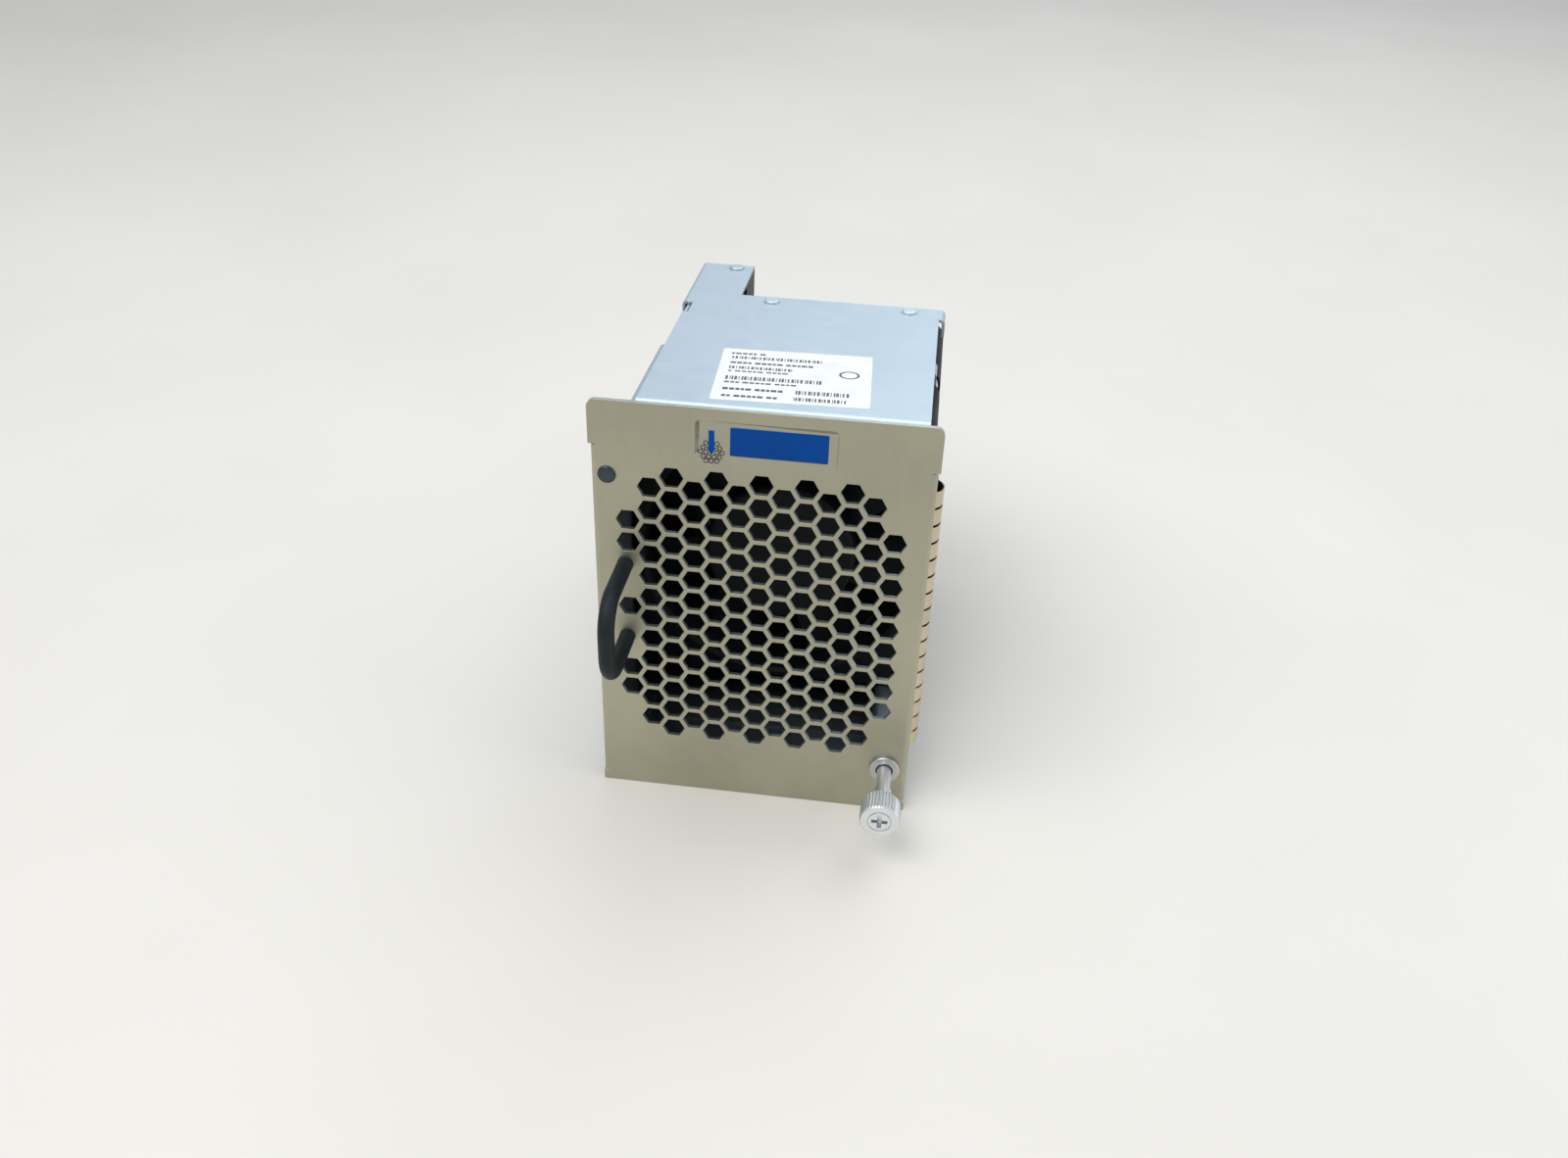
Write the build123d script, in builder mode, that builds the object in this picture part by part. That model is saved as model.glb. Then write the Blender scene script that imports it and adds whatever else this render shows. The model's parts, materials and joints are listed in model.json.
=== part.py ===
from build123d import *
from math import cos, radians, sin
import os

os.makedirs("parts", exist_ok=True)

# Faceplate: flat front with ears, a return flange down each side and a hexagon grille
plate_sheet = 1.2
side_room = 4.2
head_room = 17.6
ear_reach = 0.5
ear_height = 11.7
ear_radius = 2.2
return_depth = 12.0
return_foot = 3.0
return_relief = 0.5
return_bend = 1.4
hexagon_web = 1.1
hexagons_per_fan = 12.5
grille_columns = 6
grille_rows = 6
right_column_rows = 4
left_column_rows = (-4, -3, 0, 3, 4)

# Spring finger strip on the right return flange
finger_sheet = 0.3
finger_bulge = 1.9
finger_start = 2.9
finger_end = 10.2
finger_lip = 7.6
strip_foot = 20.4
strip_head_gap = 5.8
finger_count = 16
finger_slot = 0.7

# Sled: the sheet box behind the faceplate
sled_sheet = 0.8
sled_bend = 1.2
sled_lift = 5.0
sled_depth = 76.0
cover_stand = 0.3
top_notch_width = 10.0
shelf_gap = 0.2
bottom_notch_width = 9.2
bottom_notch_height = 12.9
window_reach = 1.8
leg_depth = 7.6
leg_drop = 5.0
cover_bend = 1.6
cover_flange = 9.0
tray_flange = 9.0
flange_inset = 1.6
tongue_width = 13.9
tongue_length = 25.1
side_flange_reach = 1.6
side_flange_drop = 14.0
side_flange_overlap = 8.2
relief_inset = 16.2
relief_length = 7.4
relief_width = 1.4
join_flange = 6.0
join_flange_start = 3.4
join_flange_inset = 17.2

# Fan bracket: a channel ring that the front fan screws to, with a nested rear plate
bracket_depth = 7.8
bracket_aperture_gap = 0.3
bracket_foot_length = 48.0
bracket_foot_inset = 9.0
bracket_corner_width = 4.0
bracket_corner_gap = 2.1
wire_slot_inset = 2.3
wire_slot_width = 22.6
wire_slot_gap = 3.1
wire_slot_height = 11.0
wire_slot_radius = 2.0
edging_lip = 0.6
edging_wrap = 0.5

# Fans: two square axial fans in line
fan_size = 80.0
fan_depth = 38.0
fan_across = 1.5
fan_corner = 5.0
fan_wall = 2.0
fan_inlet = 1.0
fan_hole_inset = 4.25
fan_hole = 4.3
strut_count = 5
strut_width = 2.6
strut_depth = 4.0
strut_inset = 1.5
motor_base = 41.0
motor_base_rim = 1.4
motor_base_recess = 0.8
bearing_outer = 8.0
bearing_width = 4.0
bearing_groove = 0.3
race_inner = 4.4
race_outer = 6.8
bearing_tube = 10.0
bearing_tube_length = 20.5
bearing_tube_floor = 1.2
shaft_diameter = 3.0
shaft_fit = 0.03
shaft_seat = 1.0
shaft_rear_gap = 0.5

# Rotors
hub_diameter = 42.0
hub_front_gap = 1.5
hub_wall = 2.0
hub_skirt = 1.6
hub_length = 29.5
hub_edge = 1.5
hub_boss = 8.0
hub_boss_length = 5.0
magnet_wall = 1.8
magnet_start = 7.0
magnet_length = 20.0
tip_gap = 0.7
front_blade_count = 7
rear_blade_count = 5
blade_middle = 16.5
blade_thickness = 1.5
blade_edge = 0.5
blade_camber = 2.6
blade_root_chord = 27.0
blade_tip_chord = 38.0
blade_root_stagger = 42.0
blade_tip_stagger = 58.0
blade_root_depth = 4.2
blade_tip_margin = 1.8

# Stator: laminated core on the bearing tube and its coils
pole_count = 4
air_gap = 0.6
core_start = 12.0
core_length = 10.0
core_yoke = 3.0
pole_neck = 3.2
pole_shoe = 1.8
pole_slot = 4.2
coil_share = 11 / 18
coil_thickness = 1.6
coil_corner = 0.9

# Fan screws
screw_head = 7.0
screw_head_height = 2.2
screw_head_edge = 0.7
screw_length = 10.0
screw_socket = 1.1
screw_socket_span = 4.2
screw_socket_depth = 1.2
head_relief = 7.4

# Sheet rivets
rivet_head = 4.2
rivet_head_height = 0.8
rivet_head_edge = 0.5
rivet_shank = 2.4
rivet_tail = 3.3
rivet_tail_height = 0.9
rivet_from_tongue = 9.2
rivet_from_side = 11.3
cover_rivet_inset = 3.9
tongue_rivet_across = 9.1
tongue_rivet_inset = 3.1

# Bow handle
handle_inset = 7.9
handle_drop = 9.3
handle_span = 22.0
handle_out = 22.0
handle_rod = 4.2
handle_radius = 8.0
handle_screw = 2.6
handle_screw_depth = 6.0
handle_screw_head = 5.4
handle_screw_head_height = 1.8

# Captive thumbscrew, its ferrule, washer and spring
screw_inset = 6.1
screw_height = 14.2
screw_travel = 8.0
knob_diameter = 10.5
knob_length = 6.5
knob_dome = 0.5
knob_flutes = 36
knob_flute_depth = 0.32
knob_flute_width = 0.55
cross_slot_length = 4.2
cross_slot_width = 1.1
cross_slot_depth = 2.2
face_groove_outer = 6.4
face_groove_width = 0.3
face_groove_depth = 0.3
collar_diameter = 6.2
collar_length = 5.6
collar_gap = 1.6
collar_step = 2.8
collar_neck = 4.8
plain_shank = 3.9
neck_diameter = 3.2
thread_diameter = 4.0
thread_end = 16.0
thread_point = 0.7
ferrule_outer = 7.2
ferrule_inner = 6.4
ferrule_flange = 8.4
ferrule_stand = 1.2
ferrule_edge = 0.5
ferrule_length = 14.0
ferrule_end_wall = 1.0
ferrule_bore = 4.7
ferrule_lip = 1.2
washer_outer = 5.7
washer_thickness = 0.6
washer_fit = 0.05
washer_gap = 0.35
spring_wire = 0.4
spring_diameter = 5.2
spring_turns = 5

# Status light
light_inset = 3.9
light_drop = 19.8
light_lens = 4.6
light_dome = 0.6
light_pipe = 3.2
light_pipe_end = 14.0
led_diameter = 3.0
led_length = 5.0
led_flange = 3.4
led_flange_length = 0.9
holder_height = 3.8
holder_wall = 0.5

# Blind-mate connector under the tongue
connector_inset = 0.9
connector_width = 12.8
connector_gap = 1.3
connector_depth = 13.7
connector_stand = 2.2
socket_wall = 1.5
socket_depth = 10.5
board_thickness = 1.6
board_drop = 0.4
contact_columns = 4
contact_rows = 2
contact_size = 0.9
contact_pitch = 2.2
contact_row_pitch = 2.6
contact_tail = 0.7
contact_end_gap = 1.5
contact_drop = 5.1

# Fan and light leads
wire_count = 4
wire_diameter = 1.0
wire_pitch = 1.5
wire_inset = 5.0
front_wire_inset = 7.4
front_wire_rise = 9.5
rear_wire_inset = 2.4
rear_wire_rise = 7.0
wire_bend_share = 0.45
light_wire = 0.8
light_wire_bend = 2.4
light_wire_run = 5.6
light_wire_drift = 1.0
light_wire_inset = 4.0
light_wire_rise = 4.7

# Sizes that follow
plate_width = fan_size + side_room
plate_half = plate_width / 2
fan_foot = sled_lift + bottom_notch_height + sled_sheet + shelf_gap
fan_height = fan_foot + fan_size / 2
fan_top = fan_foot + fan_size
plate_height = fan_top + head_room
fan_bore = fan_size - 2 * fan_wall
fan_hole_pitch = fan_size - 2 * fan_hole_inset
bracket_aperture = fan_bore + 2 * bracket_aperture_gap
hexagon_pitch = fan_size / hexagons_per_fan
hexagon_flats = hexagon_pitch - hexagon_web
sled_half = plate_half - plate_sheet
wall_face = sled_half - sled_sheet
sled_start = plate_sheet
wall_start = sled_start + sled_bend
sled_rear = sled_start + sled_depth
tray_top = sled_lift + sled_sheet
cover_top = plate_height + cover_stand
cover_under = cover_top - sled_sheet
shelf_under = fan_top + shelf_gap
shelf_top = shelf_under + sled_sheet
notch_edge = top_notch_width - sled_half
riser_face = notch_edge + sled_sheet
low_shelf_under = sled_lift + bottom_notch_height
low_shelf_top = low_shelf_under + sled_sheet
low_riser_edge = sled_half - bottom_notch_width
low_riser_face = low_riser_edge - sled_sheet
window_edge = sled_half - window_reach
bracket_start = sled_rear - bracket_depth
rear_plate_start = sled_rear - sled_sheet
tongue_right = notch_edge + tongue_width
tongue_end = sled_rear + tongue_length
front_fan_start = bracket_start - fan_depth
rear_fan_start = sled_rear
hub_radius = hub_diameter / 2
skirt_face = hub_radius - hub_skirt
magnet_face = skirt_face - magnet_wall
core_radius = magnet_face - air_gap
tip_radius = fan_bore / 2 - tip_gap
strut_start = fan_depth - strut_inset - strut_depth
tube_start = strut_start - bearing_tube_length
tube_end = strut_start + strut_depth - motor_base_recess - bearing_tube_floor
washer_start = ferrule_lip + washer_gap
washer_end = washer_start + washer_thickness
collar_standoff = screw_travel + collar_gap
collar_start = collar_standoff + collar_length
knob_end = collar_start + knob_length
finger_top = plate_half + finger_bulge
connector_left = notch_edge + connector_inset
connector_foot = fan_top + connector_gap
connector_end = tongue_end + connector_stand
board_start = connector_end - connector_depth - board_thickness
led_end = light_pipe_end + led_length
light_across = light_inset - plate_half
light_height = plate_height - light_drop
handle_across = handle_inset - plate_half
handle_foot = fan_height - handle_drop
screw_across = plate_half - screw_inset
cover_rivets = (tongue_right + rivet_from_tongue, plate_half - rivet_from_side)
tongue_rivet = notch_edge + tongue_rivet_across
coil_room = core_radius - pole_shoe - core_yoke - bearing_tube / 2
coil_length = coil_share * coil_room
coil_start = bearing_tube / 2 + core_yoke + (coil_room - coil_length) / 2

# The whole part stands on the origin: bottom face at zero, centred across and in depth
left_reach = plate_half + ear_reach
right_reach = finger_top
front_reach = handle_out + handle_rod / 2
rear_reach = rear_fan_start + fan_depth
plate_x = (left_reach - right_reach) / 2
face_y = (front_reach - rear_reach) / 2


def facing(depth, across=0, height=0):
    return Plane(
        origin=(plate_x + across, face_y + depth, height),
        x_dir=(1, 0, 0),
        z_dir=(0, -1, 0),
    )


def fan_face(depth):
    return facing(depth, fan_across, fan_height)


def sideways(across):
    return Plane(
        origin=(plate_x + across, face_y, 0), x_dir=(0, 1, 0), z_dir=(1, 0, 0)
    )


def level(height):
    return Plane(
        origin=(plate_x, face_y, height), x_dir=(1, 0, 0), z_dir=(0, 0, 1)
    )


def panel(left, low, right, high, mode=Mode.ADD):
    with Locations(((left + right) / 2, (low + high) / 2)):
        Rectangle(right - left, high - low, mode=mode)


def save(part, label):
    part.label = label
    export_step(part, f"parts/{label}.step")


# Grille hexagon centres, column by column
def grille_points():
    column_pitch = hexagon_pitch * cos(radians(30))
    points = []
    for column in range(-grille_columns, grille_columns + 1):
        rows = range(-grille_rows, grille_rows + 1)
        shift = 0
        if column % 2:
            rows = range(-grille_rows, grille_rows)
            shift = hexagon_pitch / 2
        if column == grille_columns:
            rows = range(-right_column_rows, right_column_rows + 1)
        if column == -grille_columns:
            rows = left_column_rows
        for row in rows:
            height = fan_height + row * hexagon_pitch + shift
            points.append((column * column_pitch, height))
    return points


# Faceplate
return_top = plate_height - ear_height - return_relief
with BuildPart() as faceplate:
    with BuildSketch(level(return_foot)):
        with BuildLine():
            FilletPolyline(
                (-plate_half, return_depth),
                (-plate_half, 0),
                (plate_half, 0),
                (plate_half, return_depth),
                radius=return_bend,
            )
            offset(amount=plate_sheet, side=Side.LEFT)
        make_face()
    extrude(amount=return_top - return_foot)
    with BuildSketch(facing(plate_sheet)):
        panel(-plate_half, 0, plate_half, return_foot)
        panel(return_bend - plate_half, 0, plate_half - return_bend, plate_height)
        with Locations((0, plate_height - ear_height / 2)):
            RectangleRounded(plate_width + 2 * ear_reach, ear_height, ear_radius)
        panel(
            -left_reach,
            plate_height - ear_height,
            left_reach,
            plate_height - ear_height / 2,
        )
    extrude(amount=plate_sheet)
    with BuildSketch(facing(plate_sheet)):
        with Locations(grille_points()):
            RegularPolygon(hexagon_flats / 2, 6, major_radius=False)
        with Locations((light_across, light_height)):
            Circle(light_lens / 2)
        with Locations(
            (handle_across, handle_foot),
            (handle_across, handle_foot + handle_span),
        ):
            Circle(handle_screw / 2)
        with Locations((screw_across, screw_height)):
            Circle(ferrule_outer / 2)
    extrude(amount=plate_sheet, mode=Mode.SUBTRACT)
save(faceplate.part, "faceplate")

# Spring finger strip: a clip over the flange edge with a row of sprung bows
strip_height = return_top - strip_head_gap - strip_foot
finger_pitch = strip_height / finger_count
strip_inner = sled_half - finger_sheet
strip_outer = plate_half + finger_sheet
strip_end = return_depth + finger_sheet
bow_middle = (finger_start + finger_end) / 2
with BuildPart() as finger_gasket:
    with BuildSketch(level(strip_foot)):
        panel(strip_inner, finger_lip, sled_half, strip_end)
        panel(strip_inner, return_depth, strip_outer, strip_end)
        panel(plate_half, finger_end - finger_sheet, strip_outer, strip_end)
    extrude(amount=strip_height)
    for finger in range(finger_count):
        foot = strip_foot + finger * finger_pitch + finger_slot / 2
        with BuildSketch(level(foot)):
            with BuildLine():
                ThreePointArc(
                    (plate_half, finger_start),
                    (finger_top, bow_middle),
                    (plate_half, finger_end),
                )
                Line((plate_half, finger_end), (plate_half, finger_end - finger_sheet))
                ThreePointArc(
                    (plate_half, finger_end - finger_sheet),
                    (finger_top - finger_sheet, bow_middle),
                    (plate_half, finger_start + finger_sheet),
                )
                Line(
                    (plate_half, finger_start + finger_sheet),
                    (plate_half, finger_start),
                )
            make_face()
        extrude(amount=finger_pitch - finger_slot)
save(finger_gasket.part, "finger_gasket")


# Top cover: sheet over the box with a short right leg and a rear tongue
with BuildPart() as top_cover:
    with BuildSketch(sideways(notch_edge)):
        with BuildLine():
            FilletPolyline(
                (sled_start, cover_top - cover_flange),
                (sled_start, cover_top),
                (sled_rear, cover_top),
                radius=sled_bend,
            )
            offset(amount=sled_sheet, side=Side.RIGHT)
        make_face()
    extrude(amount=window_edge - notch_edge)
    with BuildSketch(facing(sled_rear)):
        with BuildLine():
            FilletPolyline(
                (tongue_right, cover_top),
                (sled_half, cover_top),
                (sled_half, cover_top - leg_drop),
                radius=cover_bend,
            )
            offset(amount=sled_sheet, side=Side.RIGHT)
        make_face()
    extrude(amount=leg_depth)
    with BuildSketch(level(cover_under)):
        panel(notch_edge, rear_plate_start, tongue_right, tongue_end)
    extrude(amount=sled_sheet)
    with BuildSketch(facing(tongue_end)):
        with BuildLine():
            FilletPolyline(
                (notch_edge + sled_bend, cover_top),
                (notch_edge - side_flange_reach, cover_top),
                (notch_edge - side_flange_reach, cover_top - side_flange_drop),
                radius=sled_bend,
            )
            offset(amount=sled_sheet, side=Side.LEFT)
        make_face()
    extrude(amount=tongue_length + side_flange_overlap)
    with BuildSketch(level(cover_under)):
        panel(
            notch_edge,
            sled_rear - relief_inset,
            notch_edge + relief_width,
            sled_rear - relief_inset + relief_length,
        )
        for across in cover_rivets:
            with Locations((across, sled_rear - cover_rivet_inset)):
                Circle(rivet_shank / 2)
        with Locations((tongue_rivet, tongue_end - tongue_rivet_inset)):
            Circle(rivet_shank / 2)
    extrude(amount=sled_sheet, mode=Mode.SUBTRACT)
save(top_cover.part, "top_cover")

# Base tray: floor, front flange and the shelf over the thumbscrew notch
with BuildPart() as base_tray:
    with BuildSketch(sideways(flange_inset - sled_half)):
        with BuildLine():
            FilletPolyline(
                (sled_rear, sled_lift),
                (sled_start, sled_lift),
                (sled_start, sled_lift + tray_flange),
                radius=sled_bend,
            )
            offset(amount=sled_sheet, side=Side.RIGHT)
        make_face()
    extrude(amount=sled_half + low_riser_edge - sled_bend - flange_inset)
    with BuildSketch(facing(sled_rear)):
        with BuildLine():
            FilletPolyline(
                (-sled_half, sled_lift),
                (low_riser_edge, sled_lift),
                (low_riser_edge, low_shelf_under),
                (sled_half, low_shelf_under),
                radius=sled_bend,
            )
            offset(amount=sled_sheet, side=Side.LEFT)
        make_face()
    extrude(amount=sled_rear - sled_start - sled_bend)
save(base_tray.part, "base_tray")

# Left side wall: wall, shelf and riser of the upper notch, with joining flanges
with BuildPart() as left_side_wall:
    with BuildSketch(facing(sled_rear)):
        with BuildLine():
            FilletPolyline(
                (-sled_half, tray_top),
                (-sled_half, shelf_top),
                (notch_edge, shelf_top),
                (notch_edge, cover_under),
                radius=sled_bend,
            )
            offset(amount=sled_sheet, side=Side.RIGHT)
        make_face()
    extrude(amount=sled_rear - wall_start)
    with BuildSketch(level(tray_top)):
        panel(
            -wall_face,
            join_flange_start,
            join_flange - wall_face,
            sled_rear - join_flange_inset,
        )
    extrude(amount=sled_sheet)
    with BuildSketch(level(cover_under - sled_sheet)):
        panel(
            riser_face,
            join_flange_start,
            riser_face + join_flange,
            sled_rear - join_flange_inset,
        )
    extrude(amount=sled_sheet)
save(left_side_wall.part, "left_side_wall")


# Outline inside the sled that the bracket and its rear plate share
def bracket_outline(inset):
    with BuildSketch() as outline:
        with BuildLine():
            Polyline(
                (-wall_face, tray_top),
                (low_riser_face, tray_top),
                (low_riser_face, low_shelf_top),
                (wall_face, low_shelf_top),
                (wall_face, fan_top + bracket_corner_gap),
                (wall_face - bracket_corner_width, fan_top + bracket_corner_gap),
                (wall_face - bracket_corner_width, cover_under),
                (riser_face, cover_under),
                (riser_face, shelf_under),
                (-wall_face, shelf_under),
                close=True,
            )
        make_face()
        fillet(outline.vertices(), sled_bend)
        if inset:
            offset(amount=-inset)
    return outline.sketch


# Fan aperture, screw holes and wire slot of a mounting sheet
def fan_cutouts():
    with Locations((fan_across, fan_height)):
        Circle(bracket_aperture / 2)
        with GridLocations(fan_hole_pitch, fan_hole_pitch, 2, 2):
            Circle(fan_hole / 2)
    wire_slot(0)


def wire_slot(inset):
    across = notch_edge + wire_slot_inset + wire_slot_width / 2
    middle = fan_top + wire_slot_gap + wire_slot_height / 2
    width = wire_slot_width - 2 * inset
    height = wire_slot_height - 2 * inset
    with Locations((across, middle)):
        RectangleRounded(width, height, wire_slot_radius - inset)


# Fan bracket
with BuildPart() as fan_bracket:
    with BuildSketch(facing(sled_rear)):
        add(bracket_outline(0))
    extrude(amount=bracket_depth)
    with BuildSketch(facing(sled_rear)):
        add(bracket_outline(sled_sheet))
    extrude(amount=bracket_depth - sled_sheet, mode=Mode.SUBTRACT)
    with BuildSketch(facing(bracket_start + sled_sheet)):
        fan_cutouts()
    extrude(amount=sled_sheet, mode=Mode.SUBTRACT)
    with BuildSketch(level(tray_top)):
        panel(
            bracket_foot_inset - wall_face,
            bracket_start + sled_bend - bracket_foot_length,
            low_riser_face - sled_bend,
            bracket_start + sled_bend,
        )
    extrude(amount=sled_sheet)
    with BuildSketch(level(cover_under - sled_sheet)):
        for across in cover_rivets:
            with Locations((across, sled_rear - cover_rivet_inset)):
                Circle(rivet_shank / 2)
    extrude(amount=sled_sheet, mode=Mode.SUBTRACT)
    with BuildSketch(sideways(wall_face - sled_sheet)):
        for corner in (-fan_hole_pitch / 2, fan_hole_pitch / 2):
            middle = fan_height + corner
            panel(
                bracket_start + sled_sheet,
                middle - head_relief / 2,
                sled_rear,
                middle + head_relief / 2,
            )
    extrude(amount=sled_sheet, mode=Mode.SUBTRACT)
save(fan_bracket.part, "fan_bracket")

# Rear fan plate, nested in the bracket flange
with BuildPart() as rear_fan_plate:
    with BuildSketch(facing(sled_rear)):
        add(bracket_outline(sled_sheet))
    extrude(amount=sled_sheet)
    with BuildSketch(facing(sled_rear)):
        fan_cutouts()
    extrude(amount=sled_sheet, mode=Mode.SUBTRACT)
save(rear_fan_plate.part, "rear_fan_plate")

# Soft edging round the wire slot of the bracket web
with BuildPart() as slot_edging:
    edging_depth = sled_sheet + 2 * edging_wrap
    with BuildSketch(facing(bracket_start + sled_sheet + edging_wrap)):
        wire_slot(-edging_lip)
    extrude(amount=edging_depth)
    with BuildSketch(facing(bracket_start + sled_sheet + edging_wrap)):
        wire_slot(edging_lip)
    extrude(amount=edging_depth, mode=Mode.SUBTRACT)
    add(fan_bracket.part, mode=Mode.SUBTRACT)
save(slot_edging.part, "slot_edging")


# Fan frame: square housing, struts, motor base and bearing tube
def fan_frame(start):
    end = start + fan_depth
    with BuildPart() as frame:
        with BuildSketch(fan_face(end)):
            RectangleRounded(fan_size, fan_size, fan_corner)
            Circle(fan_bore / 2, mode=Mode.SUBTRACT)
            with GridLocations(fan_hole_pitch, fan_hole_pitch, 2, 2):
                Circle(fan_hole / 2, mode=Mode.SUBTRACT)
        extrude(amount=fan_depth)
        bore_edges = frame.edges().filter_by(GeomType.CIRCLE)
        chamfer(bore_edges.sort_by(Axis.Y).filter_by(is_inlet)[0], fan_inlet)
        with BuildSketch(fan_face(start + strut_start + strut_depth)):
            Circle(motor_base / 2)
            for strut in range(strut_count):
                turn = 90 + 360 * strut / strut_count
                with Locations(Rotation(0, 0, turn)):
                    with Locations((fan_bore / 4 + fan_inlet, 0)):
                        Rectangle(fan_bore / 2, strut_width)
        extrude(amount=strut_depth)
        with BuildSketch(fan_face(start + strut_start)):
            Circle(bearing_tube / 2)
        extrude(amount=bearing_tube_length)
        with BuildSketch(fan_face(start + tube_end)):
            Circle(bearing_outer / 2)
        extrude(amount=tube_end - tube_start, mode=Mode.SUBTRACT)
        with BuildSketch(fan_face(start + strut_start + strut_depth)):
            Circle(motor_base / 2 - motor_base_rim)
        extrude(amount=motor_base_recess, mode=Mode.SUBTRACT)
    return frame.part


def is_inlet(edge):
    return abs(edge.radius - fan_bore / 2) < tip_gap


# One blade section, a cambered profile turned to its stagger
def blade_section(start, turn, radius, chord, stagger, hand):
    across = cos(radians(turn))
    rise = sin(radians(turn))
    lean = radians(hand * stagger)
    plane = Plane(
        origin=(
            plate_x + fan_across + across * radius,
            face_y + start + blade_middle,
            fan_height + rise * radius,
        ),
        x_dir=(-rise * sin(lean), cos(lean), across * sin(lean)),
        z_dir=(across, 0, rise),
    )
    half = chord / 2
    edge = blade_edge / 2
    crown = hand * blade_camber
    with BuildSketch(plane) as section:
        with BuildLine():
            ThreePointArc((-half, -edge), (0, crown - blade_thickness / 2), (half, -edge))
            Line((half, -edge), (half, edge))
            ThreePointArc((half, edge), (0, crown + blade_thickness / 2), (-half, edge))
            Line((-half, edge), (-half, -edge))
        make_face()
    return section.sketch


# Rotor: twisted blades round a cup hub with a shaft boss
def rotor(start, blade_count, hand):
    hub_start = start + hub_front_gap
    root = hub_radius - blade_root_depth
    tip = tip_radius + blade_tip_margin
    with BuildPart() as wheel:
        for blade in range(blade_count):
            turn = 360 * blade / blade_count
            inner = blade_section(
                start, turn, root, blade_root_chord, blade_root_stagger, hand
            )
            outer = blade_section(
                start, turn, tip, blade_tip_chord, blade_tip_stagger, hand
            )
            loft(sections=(inner, outer))
        with BuildSketch(fan_face(start + fan_depth)):
            Circle(tip_radius)
        extrude(amount=fan_depth, mode=Mode.INTERSECT)
        with BuildSketch(fan_face(hub_start + hub_length)):
            Circle(hub_radius)
        extrude(amount=hub_length)
        with BuildSketch(fan_face(hub_start + hub_length)):
            Circle(skirt_face)
        extrude(amount=hub_length - hub_wall, mode=Mode.SUBTRACT)
        with BuildSketch(fan_face(hub_start + hub_wall + hub_boss_length)):
            Circle(hub_boss / 2)
        extrude(amount=hub_boss_length)
        with BuildSketch(fan_face(hub_start + hub_wall + hub_boss_length)):
            Circle(shaft_diameter / 2)
        extrude(
            amount=hub_boss_length + hub_wall - shaft_seat, mode=Mode.SUBTRACT
        )
        front_edge = wheel.faces().sort_by(Axis.Y)[0].edges()
        fillet(front_edge, hub_edge)
    return wheel.part


def ring(start, end, outer, inner):
    with BuildPart() as body:
        with BuildSketch(fan_face(end)):
            Circle(outer)
            Circle(inner, mode=Mode.SUBTRACT)
        extrude(amount=end - start)
    return body.part


# Two ball bearings with a groove between their races
def bearings(start):
    front = start + tube_start
    rear = start + tube_end - bearing_width
    with BuildPart() as pair:
        for depth in (front, rear):
            with BuildSketch(fan_face(depth + bearing_width)):
                Circle(bearing_outer / 2)
                Circle(shaft_diameter / 2 + shaft_fit, mode=Mode.SUBTRACT)
            extrude(amount=bearing_width)
            with BuildSketch(fan_face(depth + bearing_groove)):
                Circle(race_outer / 2)
                Circle(race_inner / 2, mode=Mode.SUBTRACT)
            extrude(amount=bearing_groove, mode=Mode.SUBTRACT)
    return pair.part


def shaft(start):
    front = start + hub_front_gap + shaft_seat
    rear = start + tube_end - shaft_rear_gap
    with BuildPart() as rod:
        with BuildSketch(fan_face(rear)):
            Circle(shaft_diameter / 2)
        extrude(amount=rear - front)
    return rod.part


# Stator core: yoke, necks and pole shoes
def stator_core(start):
    with BuildPart() as core:
        with BuildSketch(fan_face(start + core_start + core_length)):
            Circle(core_radius)
            Circle(core_radius - pole_shoe, mode=Mode.SUBTRACT)
            with PolarLocations(0, pole_count, start_angle=180 / pole_count):
                with Locations((core_radius / 2, 0)):
                    Rectangle(core_radius + pole_shoe, pole_slot, mode=Mode.SUBTRACT)
            Circle(bearing_tube / 2 + core_yoke)
            with PolarLocations(0, pole_count):
                with Locations(((core_radius - pole_shoe / 2) / 2, 0)):
                    Rectangle(core_radius - pole_shoe / 2, pole_neck)
            Circle(bearing_tube / 2, mode=Mode.SUBTRACT)
        extrude(amount=core_length)
    return core.part


# One coil round each pole neck
def windings(start):
    middle = start + core_start + core_length / 2
    width = pole_neck + 2 * coil_thickness
    height = core_length + 2 * coil_thickness
    with BuildPart() as coils:
        for pole in range(pole_count):
            turn = radians(360 * pole / pole_count)
            plane = Plane(
                origin=(
                    plate_x + fan_across + cos(turn) * coil_start,
                    face_y + middle,
                    fan_height + sin(turn) * coil_start,
                ),
                x_dir=(0, 1, 0),
                z_dir=(cos(turn), 0, sin(turn)),
            )
            with BuildSketch(plane):
                RectangleRounded(height, width, coil_corner)
                Rectangle(core_length, pole_neck, mode=Mode.SUBTRACT)
            extrude(amount=coil_length)
    return coils.part


# Both fans
for fan, start, blade_count, hand in (
    ("front", front_fan_start, front_blade_count, 1),
    ("rear", rear_fan_start, rear_blade_count, -1),
):
    magnet = start + magnet_start
    save(fan_frame(start), f"{fan}_fan_frame")
    save(rotor(start, blade_count, hand), f"{fan}_rotor")
    save(
        ring(magnet, magnet + magnet_length, skirt_face, magnet_face),
        f"{fan}_magnet_ring",
    )
    save(shaft(start), f"{fan}_shaft")
    save(bearings(start), f"{fan}_bearings")
    save(stator_core(start), f"{fan}_stator_core")
    save(windings(start), f"{fan}_windings")


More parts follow.
